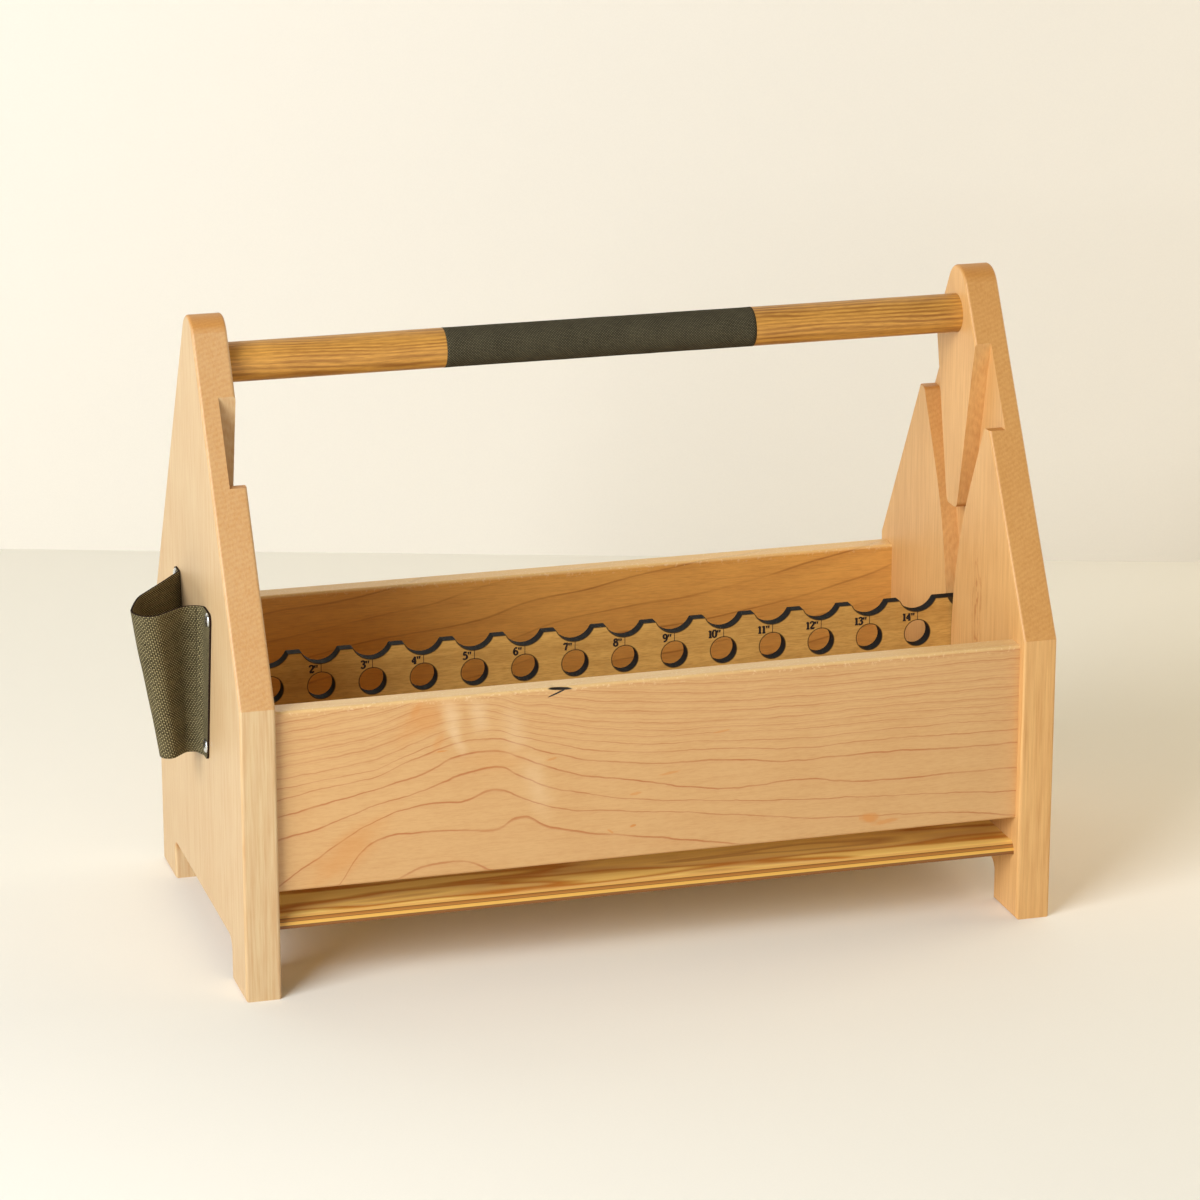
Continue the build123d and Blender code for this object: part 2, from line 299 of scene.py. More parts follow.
# Figures as strokes in a box one unit high: each stroke is its points with the width of the line there
FIGURES = {
    "0": (0.64, [[(.32, 1, .07), (.12, .84, .13), (.08, .5, .17), (.12, .16, .13), (.32, 0, .07),
                  (.52, .16, .13), (.56, .5, .17), (.52, .84, .13), (.32, 1, .07)]]),
    "1": (0.56, [[(.30, 0, .17), (.30, .98, .17)], [(.08, .80, .07), (.30, .97, .10)],
                 [(.08, .03, .07), (.52, .03, .07)]]),
    "2": (0.64, [[(.08, .74, .14), (.13, .92, .09), (.33, .99, .08), (.53, .86, .15), (.52, .64, .17),
                  (.30, .34, .11), (.08, .07, .08)], [(.06, .06, .13), (.58, .06, .13)],
                 [(.57, .02, .08), (.61, .22, .05)]]),
    "3": (0.62, [[(.08, .82, .13), (.17, .96, .08), (.38, .97, .09), (.51, .80, .16), (.44, .61, .11),
                  (.24, .54, .07)], [(.24, .54, .07), (.46, .47, .11), (.56, .27, .17), (.44, .06, .11),
                                     (.20, .01, .08), (.06, .17, .14)]]),
    "4": (0.66, [[(.45, 0, .16), (.45, .98, .16)], [(.46, .97, .08), (.04, .30, .08)],
                 [(.03, .28, .09), (.64, .28, .09)], [(.28, .03, .07), (.62, .03, .07)]]),
    "5": (0.62, [[(.14, .94, .14), (.54, .94, .14)], [(.16, .97, .08), (.12, .54, .08)],
                 [(.12, .54, .07), (.34, .63, .10), (.54, .46, .15), (.55, .22, .16), (.38, .03, .10),
                  (.16, .01, .08), (.06, .15, .14)]]),
    "6": (0.62, [[(.53, .92, .13), (.32, .96, .08), (.13, .70, .13), (.09, .34, .17), (.20, .06, .11),
                  (.36, 0, .08), (.54, .15, .15), (.53, .42, .15), (.36, .56, .08), (.18, .46, .08),
                  (.11, .32, .10)]]),
    "7": (0.62, [[(.05, .94, .14), (.58, .94, .14)], [(.57, .93, .10), (.38, .50, .13), (.27, 0, .16)],
                 [(.06, .98, .07), (.04, .76, .05)]]),
    "8": (0.62, [[(.31, .99, .08), (.15, .88, .13), (.15, .68, .13), (.31, .54, .09), (.47, .68, .13),
                  (.47, .88, .13), (.31, .99, .08)],
                 [(.31, .54, .09), (.10, .40, .15), (.09, .14, .15), (.31, 0, .08), (.53, .14, .15),
                  (.52, .40, .15), (.31, .54, .09)]]),
    "9": (0.62, [[(.09, .08, .13), (.30, .04, .08), (.49, .30, .13), (.53, .66, .17), (.42, .94, .11),
                  (.26, 1, .08), (.08, .85, .15), (.09, .58, .15), (.26, .44, .08), (.44, .54, .08),
                  (.51, .68, .10)]]),
    '"': (0.56, [[(.13, 1, .12), (.16, .62, .0)], [(.43, 1, .12), (.40, .62, .0)]]),
}


def link(name, mesh, body):
    """Puts a mesh in the scene as a piece that rides on a body."""
    piece = bpy.data.objects.new(name, mesh)
    bpy.context.scene.collection.objects.link(piece)
    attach(piece, body)
    return piece


def apply_modifiers(piece):
    """Turns a piece's modifiers into its mesh."""
    bpy.context.view_layer.update()
    seen = piece.evaluated_get(bpy.context.evaluated_depsgraph_get())
    done = bpy.data.meshes.new_from_object(seen)
    done.name = piece.data.name
    piece.modifiers.clear()
    piece.data = done


def thicken(piece, thickness):
    """Gives a cloth its thickness on its outer side, with the second material on its rim."""
    shell = piece.modifiers.new("thickness", "SOLIDIFY")
    shell.thickness = thickness
    shell.offset = 1.0
    shell.use_even_offset = True
    shell.material_offset_rim = 1
    apply_modifiers(piece)


def bent_strip(bends, run_steps, bend_steps):
    """The points of a section that is bent to a radius at each inner corner, in millimetres."""
    corners = [Vector(place) for place, radius in bends]
    points = [corners[0]]
    for before, here, after, (place, radius) in zip(corners, corners[1:], corners[2:], bends[1:]):
        way_in, way_out = (here - before).normalized(), (after - here).normalized()
        turn = way_in.angle_signed(way_out)
        reach = radius * tan(abs(turn) / 2)
        start, end = here - way_in * reach, here + way_out * reach
        run_start = points[-1].copy()
        points += [run_start.lerp(start, (i + 1) / run_steps) for i in range(run_steps)]
        side = Vector((-way_in.y, way_in.x)) * (-1 if turn > 0 else 1)
        centre = start + side * radius
        for i in range(bend_steps):
            spun = (start - centre).copy()
            spun.rotate(Matrix.Rotation(-turn * (i + 1) / bend_steps, 2))
            points.append(centre + spun)
    run_start = points[-1].copy()
    points += [run_start.lerp(corners[-1], (i + 1) / run_steps) for i in range(run_steps)]
    return points


def smooth_stroke(stroke, steps=6):
    """More points along a stroke, on a curve through its own ones, with the width changing evenly."""
    if len(stroke) < 3:
        return [Vector(point) for point in stroke]
    known = [Vector(point) for point in stroke]
    closed = (known[0] - known[-1]).length < 1e-6
    first = known[-2] if closed else 2 * known[0] - known[1]
    last = known[1] if closed else 2 * known[-1] - known[-2]
    known = [first, *known, last]
    points = []
    for a, b, c, d in zip(known, known[1:], known[2:], known[3:]):
        for i in range(steps):
            t = i / steps
            points.append(0.5 * (2 * b + (c - a) * t + (2 * a - 5 * b + 4 * c - d) * t * t
                                 + (3 * b - a - 3 * c + d) * t ** 3))
    points.append(known[-2])
    return points


def growth_lines(add, level, spacing, width, shade_strength):
    """How dark the late wood is: a thin line where level passes a whole number, with a soft shade below it.

    spacing is how far apart the lines are and width how wide they are, both in millimetres.
    """
    part = add("Math", "FRACT", (level,))
    from_middle = add("Math", "ABSOLUTE", (add("Math", "SUBTRACT", (part, 0.5)),))
    from_line = add("Math", "SUBTRACT", (0.5, from_middle))
    apart = add("Math", "MULTIPLY", (from_line, spacing))
    line = add("MapRange", {"interpolation_type": "SMOOTHSTEP"},
               {"Value": apart, "From Min": width * 0.1, "From Max": width, "To Min": 1.0, "To Max": 0.0})
    shade = add("MapRange", {"interpolation_type": "SMOOTHERSTEP"},
                {"Value": part, "From Min": 0.45, "From Max": 1.0, "To Min": 0.0, "To Max": shade_strength})
    return add("Math", "MAXIMUM", (line, shade))


def wood_figure(add, place, along, sizes, pale, fibre_colour, fibre_strength, streak_strength, line_colour,
                lines):
    """The colour of planed wood: fine fibres and soft streaks along the grain, with growth lines over them.

    sizes is how long a fibre is and how wide, in millimetres, and along the axis that it runs on. Real fibres
    are too fine to show in the render, so these are drawn as coarse as they need to be to show.
    """
    fibre_sizes = [sizes[0] if axis == along else sizes[1] for axis in "xyz"]
    fibres = stretched_noise(add, place, fibre_sizes, 3.0, 0.65)
    streak_sizes = [5 * sizes[0] if axis == along else 2.5 * sizes[1] for axis in "xyz"]
    streaks = stretched_noise(add, place, streak_sizes, 3.0, 0.6)
    clouds = stretched_noise(add, place, [34, 34, 34], 2.0)
    amount = add("MapRange", {"clamp": False}, {
        "Value": fibres, "From Min": 0.35, "From Max": 0.65, "To Min": -0.5 * fibre_strength,
        "To Max": fibre_strength})
    for blots, strength in ((streaks, streak_strength), (clouds, 0.6 * streak_strength)):
        part = add("MapRange", {}, {"Value": blots, "From Min": 0.38, "From Max": 0.7, "To Max": strength})
        amount = add("Math", {"operation": "ADD", "use_clamp": True}, (amount, part))
    colour = add("Mix", {"data_type": "RGBA"}, {"Factor": amount, "A": pale, "B": fibre_colour})
    return add("Mix", {"data_type": "RGBA"}, {"Factor": lines, "A": colour, "B": line_colour}), fibres


def patch(add, place, centre, turn, length, width, ragged, soft):
    """A patch on an upright board: 1 in its middle and 0 beyond its ragged rim, turned up by turn degrees.

    soft is how much of its reach the rim takes, from 0, crisp, to 1.
    """
    c, s = cos(radians(turn)), sin(radians(turn))
    away = add("VectorMath", "SUBTRACT", (place, centre))
    along = add("VectorMath", "DOT_PRODUCT", (away, (c / length, 0, s / length)))
    across = add("VectorMath", "DOT_PRODUCT", (away, (-s / width, 0, c / width)))
    flat = add("CombineXYZ", {}, {"X": along, "Y": across})
    reach = add("VectorMath", "LENGTH", (flat,))
    torn = stretched_noise(add, place, (0.5 * length, 2.0, 0.9 * width), 3.0, 0.6)
    rim = add("Math", "MULTIPLY_ADD", (torn, ragged, reach))
    return add("MapRange", {"interpolation_type": "SMOOTHSTEP"}, {
        "Value": rim, "From Min": 0.5 * ragged + 1 - soft, "From Max": 0.5 * ragged + 1, "To Min": 1.0,
        "To Max": 0.0})


def tint(add, colour, share, strength, over):
    """Lays a colour over another as strongly as share, from 0 to 1, times strength."""
    factor = add("Math", "MULTIPLY", (share, strength))
    return add("Mix", {"data_type": "RGBA"}, {"Factor": factor, "A": colour, "B": over})


def end_grain_share(add, direction):
    """How far the grain is cut across on a face, from 0 to 1, where the grain runs along direction."""
    normal = add("TexCoord", {"output": "Normal"})
    along = add("VectorMath", "DOT_PRODUCT", (normal, direction))
    straight = add("Math", "ABSOLUTE", (along,))
    return add("Math", "POWER", (straight, 1.6))


def board_ends(add, wood, colour):
    """Gives a board the colour of end grain on its two ends."""
    cut = end_grain_share(add, (1, 0, 0))
    share = add("MapRange", {}, {"Value": cut, "From Max": 0.8, "To Max": 0.85})
    return add("Mix", {"data_type": "RGBA"}, {"Factor": share, "A": colour, "B": wood.maple_end})


# Where the small swirl lies on the right end, in millimetres: how far back from the caddy's middle and how
# far above the floor
SWIRL_Y = -38.0
SWIRL_Z = 137.0


def oiled_maple_end(wood, name, pale, figure_strength):
    """Solid maple, planed and oiled, with its grain upright: pale faces with faint streaks and fine fibres,
    and darker, oranger wood with close growth lines on the slopes and arch, where the fibres are cut across
    and drink oil. A small swirl round a hidden knot shows on the front half, as strongly as figure_strength
    says."""
    material, add = start_material(name)
    place = caddy_millimetres(add)
    wave = stretched_noise(add, place, (16, 26, 200), 3.0)
    lean = add("VectorMath", "DOT_PRODUCT", (place, (-0.16, 0.75, 0.01)))
    level = add("Math", "MULTIPLY_ADD", (wave, 3.0, lean))
    lines = growth_lines(add, level, 1.3, 0.6, 0.4)
    faint = add("Math", "MULTIPLY", (lines, 0.1))
    away = add("VectorMath", "SUBTRACT", (place, (0, SWIRL_Y, SWIRL_Z)))
    torn = stretched_noise(add, place, (9, 5, 12), 3.0)
    narrow = add("VectorMath", "MULTIPLY", (away, (0.0, 1 / 3.4, 1 / 15.0)))
    reach = add("VectorMath", "LENGTH", (narrow,))
    reach = add("Math", "MULTIPLY_ADD", (torn, 2.6, reach))
    swirl = growth_lines(add, reach, 3.4, 0.8, 0.5)
    fading = add("MapRange", {}, {"Value": reach, "From Min": 1.8, "From Max": 4.4,
                                  "To Min": figure_strength, "To Max": 0.0})
    swirl = add("Math", "MULTIPLY", (swirl, fading))
    figure = add("Math", "MAXIMUM", (faint, swirl))
    colour, fibres = wood_figure(
        add, place, "z", (26, 0.9), pale, wood.maple_fibre, 0.24, 0.2, wood.maple_line, figure)
    cut = end_grain_share(add, (0, 0, 1))
    speckle = stretched_noise(add, place, (0.9, 0.9, 0.9), 3.0, 0.7)
    pores = add("MapRange", {}, {"Value": speckle, "From Min": 0.42, "From Max": 0.75, "To Max": 0.4})
    end = tint(add, wood.maple_end, pores, 1.0, wood.maple_line)
    end = tint(add, end, lines, 0.15, wood.maple_line)
    share = add("MapRange", {}, {"Value": cut, "From Max": 0.6, "To Max": 0.92})
    colour = add("Mix", {"data_type": "RGBA"}, {"Factor": share, "A": colour, "B": end})
    close_material(add, colour, fibres, 0.00005, {"Roughness": 0.46})
    return material


# The front board's growth lines, measured on the photo: at each distance from the board's middle, how high
# the lines number -2 to 9 pass above the floor. Both are in millimetres, and a height below the board is a
# line that runs out of it.
FRONT_GROWTH = [
    (-184, (20, 38, 52.9, 76.5, 87.7, 95.9, 101.5, 106.3, 112.2, 117.5, 123.8, 128.6)),
    (-160, (28, 46, 68.3, 81.7, 92.2, 100.2, 104.1, 108.6, 114.5, 120.0, 125.7, 131.0)),
    (-134, (46, 72.6, 82.3, 89.6, 97.6, 104.1, 107.5, 112.3, 118.1, 123.8, 128.3, 133.9)),
    (-112, (56.9, 74.1, 87.4, 94.7, 102.7, 112.1, 115.2, 119.7, 124.8, 130.5, 134.5, 138.5)),
    (-94, (57.2, 72.8, 87.1, 100.6, 110.4, 116.5, 120.0, 123.9, 127.4, 131.8, 134.6, 138.5)),
    (-78, (50, 71.6, 91.5, 102.8, 110.7, 116.7, 120.5, 123.0, 126.5, 129.6, 132.9, 136.8)),
    (-66, (44, 76.8, 86.7, 96.8, 106.1, 112.9, 116.3, 119.3, 122.3, 125.3, 129.0, 132.4)),
    (-54, (40, 71.4, 81.3, 90.7, 100.8, 108.1, 113.0, 115.9, 119.0, 122.6, 126.2, 130.9)),
    (-36, (38, 66.3, 77.0, 85.7, 94.7, 102.6, 107.6, 112.0, 115.5, 118.8, 121.8, 127.1)),
    (-8, (38, 61.4, 73.8, 79.8, 89.0, 97.9, 103.5, 107.4, 111.0, 114.0, 117.8, 123.6)),
    (34, (34, 53.6, 68.3, 75.0, 80.9, 95.3, 101.1, 105.0, 109.3, 111.8, 114.9, 120.1)),
    (72, (28, 46, 62.5, 71.6, 81.8, 91.6, 97.6, 102.6, 107.3, 110.2, 114.0, 119.0)),
    (106, (26, 44, 59.9, 69.7, 77.4, 92.1, 98.1, 103.1, 107.5, 110.8, 114.8, 119.0)),
    (146, (24, 42, 58.0, 67.5, 77.7, 90.5, 97.4, 102.7, 107.0, 110.5, 114.2, 119.0)),
    (184, (18, 36, 52.2, 65.0, 76.8, 90.0, 96.5, 102.0, 105.9, 109.4, 113.2, 118.8)),
]
FRONT_FACE = -96.5
BOARD_TOP = 139.0
BOARD_HALF_LENGTH = 190.0
CHART_TOP = 160.0

# Beyond the chart, in millimetres: how far below its lowest line the next passes, and how far apart they lie
# above its highest
NEXT_BELOW = 25.0
APART_ABOVE = 4.6


def front_growth_level(add, x, height):
    """The number of the growth line at a place on the front board, which is whole on the lines themselves."""
    across = add("MapRange", {}, {"Value": x, "From Min": -BOARD_HALF_LENGTH, "From Max": BOARD_HALF_LENGTH})
    lines = []
    for heights in zip(*[column for _, column in FRONT_GROWTH]):
        points = [((place + BOARD_HALF_LENGTH) / (2 * BOARD_HALF_LENGTH), z / CHART_TOP)
                  for (place, _), z in zip(FRONT_GROWTH, heights)]
        curve = add("FloatCurve", {"points": points}, {"Value": across})
        lines.append(add("Math", "MULTIPLY", (curve, CHART_TOP)))
    foot = add("Math", "SUBTRACT", (lines[0], NEXT_BELOW))
    level = add("MapRange", {}, {"Value": height, "From Min": foot, "From Max": lines[0], "To Min": -3.0,
                                 "To Max": -2.0})
    for low, high in zip(lines, lines[1:]):
        step = add("MapRange", {}, {"Value": height, "From Min": low, "From Max": high})
        level = add("Math", "ADD", (level, step))
    over = add("Math", "SUBTRACT", (height, lines[-1]))
    over = add("Math", "MAXIMUM", (over, 0.0))
    return add("Math", "MULTIPLY_ADD", (over, 1 / APART_ABOVE, level))


def handled_top(add, z, colour):
    """The boards' top edge: a painted highlight, paler and more golden, with painted glints along the arris.
    """
    # Painted highlight: the band just under the top edge is tinted paler and more golden
    edge = add("MapRange", {"interpolation_type": "SMOOTHSTEP"}, {
        "Value": z, "From Min": BOARD_TOP - 1.8, "From Max": BOARD_TOP - 0.3})
    colour = tint(add, colour, edge, 0.5, linear("F6D594"))
    # Painted glints: bright specks in a narrow band under the arris
    place = add("TexCoord", {"output": "Object"})
    specks = add("TexNoise", {}, {"Vector": place, "Scale": 750.0, "Detail": 2.0})
    below = add("MapRange", {}, {"Value": z, "From Min": BOARD_TOP - 4.0, "From Max": BOARD_TOP - 1.0})
    painted_glint = add("MapRange", {}, {"Value": specks, "From Min": 0.58, "From Max": 0.68})
    bright = add("Math", "MULTIPLY", (painted_glint, below))
    return tint(add, colour, bright, 0.3, linear("FBE9C0"))


def oiled_maple_front(wood):
    """Solid plain-sawn maple, planed and oiled: thin reddish growth lines that rise over a hump left of the
    middle, orange blushes, a painted pale sheen where the fibres dip, painted glints and a painted highlight
    along the top edge, and a dark open check at the top."""
    material, add = start_material("oiled maple, plain-sawn front")
    place = caddy_millimetres(add)
    gentle = stretched_noise(add, place, (13, 20, 9), 3.0)
    at = add("SeparateXYZ", {}, (place,)).node.outputs
    warp = add("Math", "MULTIPLY_ADD", (gentle, 2.4, -1.2))
    height = add("Math", "ADD", (at["Z"], warp))
    level = front_growth_level(add, at["X"], height)
    depth = add("Math", "SUBTRACT", (at["Y"], FRONT_FACE))
    level = add("Math", "MULTIPLY_ADD", (depth, -0.12, level))
    spacing = add("MapRange", {}, {"Value": height, "From Min": 62.0, "From Max": 112.0, "To Min": 13.0,
                                   "To Max": 4.5})
    lines = growth_lines(add, level, spacing, 0.52, 0.08)
    fade = stretched_noise(add, place, (26, 20, 5), 2.0)
    strong = add("MapRange", {"interpolation_type": "SMOOTHSTEP"},
                 {"Value": level, "From Min": 2.0, "From Max": 6.0, "To Min": 0.85, "To Max": 0.5})
    faded = add("MapRange", {}, {"Value": fade, "From Min": 0.35, "From Max": 0.6, "To Min": 0.5})
    strong = add("Math", "MULTIPLY", (strong, faded))
    between = add("Math", "MULTIPLY_ADD", (level, 2.0, 0.37))
    half_spacing = add("Math", "MULTIPLY", (spacing, 0.5))
    fine = growth_lines(add, between, half_spacing, 0.4, 0.0)
    upper = add("MapRange", {}, {"Value": level, "From Min": 3.0, "From Max": 7.0, "To Max": 0.2})
    fine = add("Math", "MULTIPLY", (fine, upper))
    lines = add("Math", "MULTIPLY", (lines, strong))
    lines = add("Math", "MAXIMUM", (lines, fine))
    colour, fibres = wood_figure(
        add, place, "x", (4.5, 0.6), wood.front_pale, wood.maple_fibre, 0.15, 0.16, wood.maple_line, lines)
    near_front = add("MapRange", {}, {"Value": depth, "From Min": 2.0, "From Max": 6.0, "To Min": 1.0,
                                      "To Max": 0.0})
    blush, painted_sheen, dark = linear("CC8436"), linear("F2DDB4"), linear("140B06")
    # Orange blushes are the wood's own colour; the pale patches are painted sheen that stands for light
    # glancing off the fibres
    for x, z, turn, length, width, soft, strength, over in (
            (-149, 68, 40, 34, 12, 0.9, 0.42, blush), (-112, 130, 35, 22, 12, 0.9, 0.42, blush),
            (-78, 106, 0, 24, 8, 0.9, 0.16, blush), (-105, 118, 62, 8, 3, 0.8, 0.32, blush),
            (-116, 134, 60, 6, 3, 0.8, 0.42, blush), (108, 58.5, -12, 7, 3.6, 0.7, 0.75, blush),
            (116, 56, 8, 9, 1.6, 0.6, 0.5, blush), (-104, 112.8, 3, 3.5, 0.5, 0.5, 0.8, blush),
            (-11, 66.7, 12, 2.2, 0.8, 0.5, 0.9, blush), (7, 91.3, 8, 6, 0.9, 0.5, 0.5, blush),
            (-9.5, 82.7, 6, 4, 0.9, 0.5, 0.5, blush), (-50.7, 103.9, 14, 3.4, 0.8, 0.5, 0.5, blush),
            (33, 109.8, 8, 5, 0.7, 0.5, 0.5, blush), (-22, 65, -35, 2.4, 0.7, 0.5, 0.6, blush),
            (-99, 129, -78, 20, 6.5, 1.1, 0.3, painted_sheen), (-96, 117, -66, 12, 4.5, 1.1, 0.24, painted_sheen),
            (-86, 130, -76, 16, 7.0, 1.1, 0.24, painted_sheen), (-69, 120, -84, 24, 9.0, 1.1, 0.18, painted_sheen),
            (-58, 92, -75, 26, 9.0, 1.1, 0.2, painted_sheen)):
        share = patch(add, place, (x, 0, z), turn, length, width, 0.9, soft)
        strength = add("Math", "MULTIPLY", (near_front, strength))
        colour = tint(add, colour, share, strength, over)
    # Painted highlight and painted glints along the top edge
    colour = handled_top(add, at["Z"], colour)
    upper_check = patch(add, place, (-46.5, 0, 138.2), -4, 6.4, 0.7, 0.4, 0.25)
    lower_check = patch(add, place, (-48.0, 0, 136.2), 21, 5.2, 0.45, 0.4, 0.25)
    check = add("Math", "MAXIMUM", (upper_check, lower_check))
    check = add("Math", "MULTIPLY", (check, near_front))
    colour = tint(add, colour, check, 1.0, dark)
    relief = add("Math", "MULTIPLY_ADD", (check, -10.0, fibres))
    colour = board_ends(add, wood, colour)
    close_material(add, colour, relief, 0.00005, {"Roughness": 0.36, "Specular IOR Level": 0.68})
    return material


def oiled_maple_back(wood):
    """Solid plain-sawn maple, planed and oiled, with broad, dark growth lines that arch up to the right."""
    material, add = start_material("oiled maple, broad back")
    place = caddy_millimetres(add)
    wave = stretched_noise(add, place, (150, 60, 70), 2.0)
    at = add("SeparateXYZ", {}, (place,)).node.outputs
    lean = add("VectorMath", "DOT_PRODUCT", (place, (-0.011, 0.05, 0.07)))
    level = add("Math", "MULTIPLY_ADD", (wave, 1.9, lean))
    lines = growth_lines(add, level, 14.0, 0.8, 0.3)
    fade = stretched_noise(add, place, (60, 30, 14), 2.0)
    strong = add("MapRange", {}, {"Value": fade, "From Min": 0.35, "From Max": 0.65, "To Min": 0.15,
                                  "To Max": 0.6})
    lines = add("Math", "MULTIPLY", (lines, strong))
    colour, fibres = wood_figure(
        add, place, "x", (7, 0.6), wood.back_pale, wood.maple_fibre, 0.24, 0.24, linear("8C4A18"), lines)
    # Painted highlight and painted glints along the top edge
    colour = handled_top(add, at["Z"], colour)
    colour = board_ends(add, wood, colour)
    close_material(add, colour, fibres, 0.00005, {"Roughness": 0.36, "Specular IOR Level": 0.68})
    return material


# The top and the foot of the bottom panel's plies above the floor, in millimetres
PLIES_TOP = 38.1
PLIES_FOOT = 32.3


def oiled_plywood(wood):
    """Thin veneered plywood, sanded and oiled: a pale face with an orange flame figure, and at the edges its
    plies as light and brown bands with dark glue lines."""
    material, add = start_material("oiled plywood")
    place = caddy_millimetres(add)
    at = add("SeparateXYZ", {}, (place,)).node.outputs
    flame = stretched_noise(add, place, (150, 20, 40), 2.0, 0.5)
    figure = add("ValToRGB", {"stops": [
        (0.42, wood.veneer_pale), (0.47, linear("CF963F")), (0.50, wood.veneer_flame),
        (0.53, linear("E0B368")), (0.60, wood.veneer_pale), (0.66, linear("CF9B52")),
        (0.70, wood.veneer_pale)]}, {"Fac": flame})
    fibres = stretched_noise(add, place, (18, 0.5, 0.5), 2.0, 0.7)
    face = add("Mix", {"data_type": "RGBA", "blend_type": "MULTIPLY"}, {
        "Factor": add("MapRange", {}, {"Value": fibres, "From Min": 0.3, "From Max": 0.75, "To Max": 0.35}),
        "A": figure, "B": linear("EBD3AC")})
    down = add("MapRange", {}, {"Value": at["Z"], "From Min": PLIES_TOP, "From Max": PLIES_FOOT})
    plies = add("ValToRGB", {"stops": [
        (0.0, linear("E0B064")), (0.17, linear("DCA958")), (0.20, linear("5E3712")),
        (0.24, linear("A26A2C")), (0.40, linear("B57A36")), (0.43, linear("4E2E10")),
        (0.47, linear("DDA64A")), (0.70, linear("E0AF54")), (0.74, linear("53300F")),
        (0.78, linear("8E5A24")), (1.0, linear("7A4B1C"))]}, {"Fac": down})
    normal = add("TexCoord", {"output": "Normal"})
    up = add("SeparateXYZ", {}, (normal,)).node.outputs["Z"]
    level = add("Math", "ABSOLUTE", (up,))
    edge = add("MapRange", {"interpolation_type": "SMOOTHSTEP"}, {
        "Value": level, "From Min": 0.90, "From Max": 0.97, "To Min": 1.0, "To Max": 0.0})
    colour = add("Mix", {"data_type": "RGBA"}, {"Factor": edge, "A": face, "B": plies})
    close_material(add, colour, fibres, 0.00006, {"Roughness": 0.42})
    return material


def oiled_dowel(wood):
    """An open-grained hardwood dowel, turned and oiled: honey brown with long pointed arches of late wood and
    fine dark pores along it."""
    material, add = start_material("oiled open-grained dowel")
    place = caddy_millimetres(add)
    wave = stretched_noise(add, place, (90, 14, 14), 2.0)
    lean = add("VectorMath", "DOT_PRODUCT", (place, (0.006, 0.32, 0.46)))
    level = add("Math", "MULTIPLY_ADD", (wave, 3.2, lean))
    lines = growth_lines(add, level, 1.9, 0.8, 0.5)
    fade = stretched_noise(add, place, (40, 9, 9), 2.0)
    strong = add("MapRange", {}, {"Value": fade, "From Min": 0.4, "From Max": 0.65, "To Min": 0.25,
                                  "To Max": 0.72})
    lines = add("Math", "MULTIPLY", (lines, strong))
    colour, fibres = wood_figure(
        add, place, "x", (7, 0.55), wood.dowel_pale, wood.dowel_line, 0.28, 0.2, wood.dowel_line, lines)
    close_material(add, colour, fibres, 0.00012, {"Roughness": 0.45})
    return material


def burnt_ruler_plywood(wood, ruler):
    """Laser-cut plywood, oiled: a yellow tan face with level streaks, charred, nearly black cut edges, and a
    thin scorched outline on the face along every cut."""
    material, add = start_material("laser-cut ruler plywood")
    place = caddy_millimetres(add)
    streaky = stretched_noise(add, place, (140, 8, 8), 3.0, 0.6)
    bands = add("MapRange", {}, {"Value": streaky, "From Min": 0.42, "From Max": 0.66, "To Max": 0.3})
    colour, fibres = wood_figure(
        add, place, "x", (5, 0.6), wood.ruler_face, linear("8F5F26"), 0.24, 0.18, linear("8F5F26"), bands)
    normal = add("TexCoord", {"output": "Normal"})
    facing = add("Math", "ABSOLUTE", (add("SeparateXYZ", {}, (normal,)).node.outputs["Y"],))
    charred = add("MapRange", {"interpolation_type": "SMOOTHSTEP"},
                  {"Value": facing, "From Min": 0.55, "From Max": 0.8, "To Min": 1.0, "To Max": 0.0})
    at = add("SeparateXYZ", {}, (place,)).node.outputs
    pitch = ruler.hole_pitch / MM
    part = add("Math", "FRACT", (add("Math", "DIVIDE", (at["X"], pitch)),))
    aside = add("Math", "MULTIPLY_ADD", (part, pitch, -pitch / 2))
    top = ruler_high.z / MM
    hole_z = top - (ruler.hole_top + ruler.hole_radius) / MM
    scallop_z = top + (ruler.scallop_radius - ruler.scallop_depth) / MM
    for centre_z, radius in ((hole_z, ruler.hole_radius / MM), (scallop_z, ruler.scallop_radius / MM)):
        above = add("Math", "SUBTRACT", (at["Z"], centre_z))
        away = add("VectorMath", "LENGTH", (add("CombineXYZ", {}, {"X": aside, "Y": above}),))
        scorched = add("MapRange", {"interpolation_type": "SMOOTHSTEP"}, {
            "Value": away, "From Min": radius + 0.15, "From Max": radius + 0.75, "To Min": 0.9,
            "To Max": 0.0})
        charred = add("Math", "MAXIMUM", (charred, scorched))
    flats = add("MapRange", {}, {
        "Value": at["Z"], "From Min": top - 0.6, "From Max": top - 0.1, "To Max": 0.9})
    charred = add("Math", "MAXIMUM", (charred, flats))
    soot = add("Mix", {"data_type": "RGBA"}, {"Factor": fibres, "A": wood.burnt_edge, "B": linear("171412")})
    colour = add("Mix", {"data_type": "RGBA"}, {"Factor": charred, "A": colour, "B": soot})
    close_material(add, colour, fibres, 0.00006, {"Roughness": 0.7, "Specular IOR Level": 0.12})
    return material


